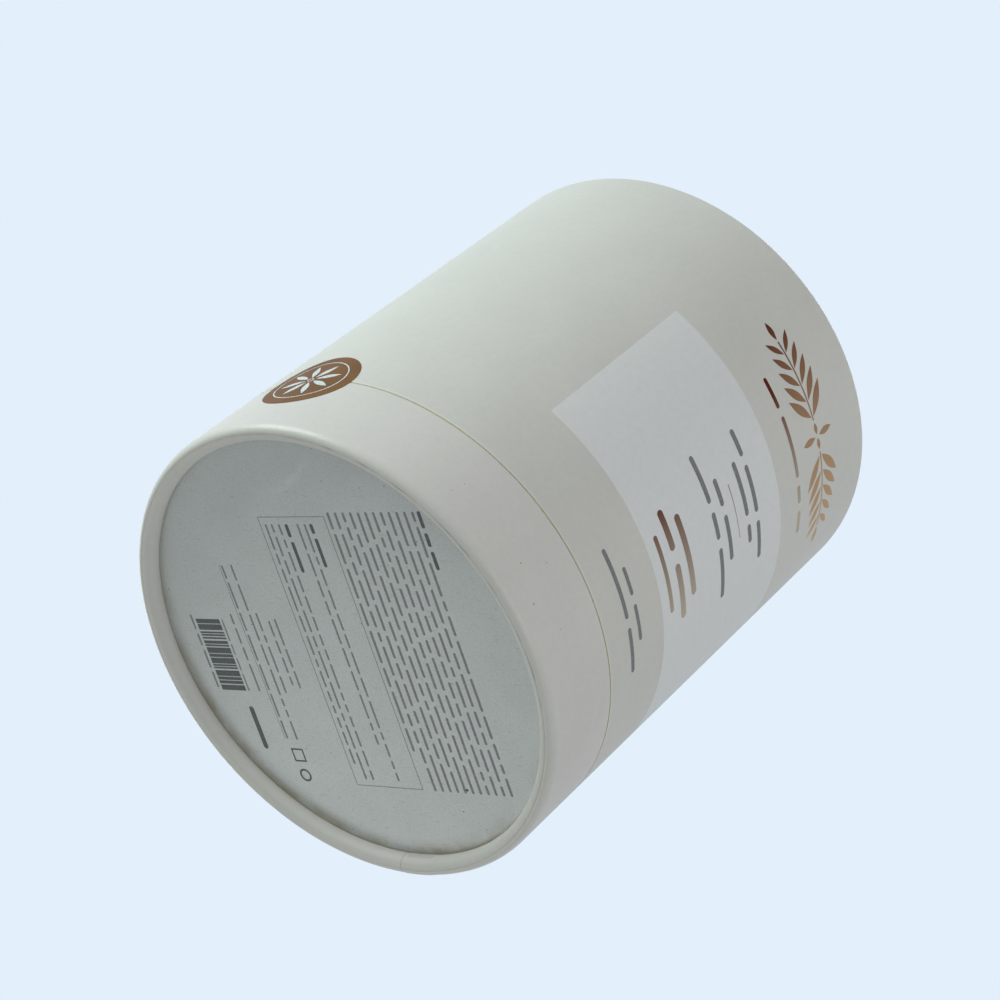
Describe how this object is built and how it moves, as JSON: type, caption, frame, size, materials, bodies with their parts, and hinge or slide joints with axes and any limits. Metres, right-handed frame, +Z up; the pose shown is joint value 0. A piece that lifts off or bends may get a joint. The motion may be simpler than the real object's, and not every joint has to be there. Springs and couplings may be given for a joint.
{
  "type": "round box",
  "caption": "Round paper box: a tall lid lifts off a short base over a glued neck tube; both ends have a curled edge round a recessed disc, and a foam insert has a ring of vial pockets.",
  "frame": {"origin": "centre of the round base, on the plane that the curled foot stands on", "axes": "+Z up along the box's axis from the base to the lid; -Y towards the printed front; the round seal is near -X"},
  "size_m": [0.1004, 0.1, 0.121],
  "materials": {
    "grey_board": "matte",
    "pearl_wrap": "satin",
    "speckled_label": "matte",
    "white_lining": "matte",
    "white_foam": "matte",
    "copper_foil": "satin"
  },
  "bodies": {
    "base": {"base_tube": "grey_board", "base_wrap": "pearl_wrap", "base_label": "speckled_label", "base_disc": "grey_board", "base_floor_paper": "white_lining", "neck_tube": "grey_board", "neck_cover": "white_lining", "insert_foam": "white_foam", "insert_card": "white_lining", "seal_base_half": "copper_foil"},
    "lid": {"lid_tube": "grey_board", "lid_wrap": "pearl_wrap", "lid_top_paper": "pearl_wrap", "lid_disc": "grey_board", "lid_ceiling_paper": "white_lining", "seal_lid_half": "copper_foil"}
  },
  "joints": [
    {"name": "lid_lift", "type": "slide", "parent": "base", "child": "lid", "axis": [0, 0, 1], "range_m": [0, 0.075]}
  ]
}
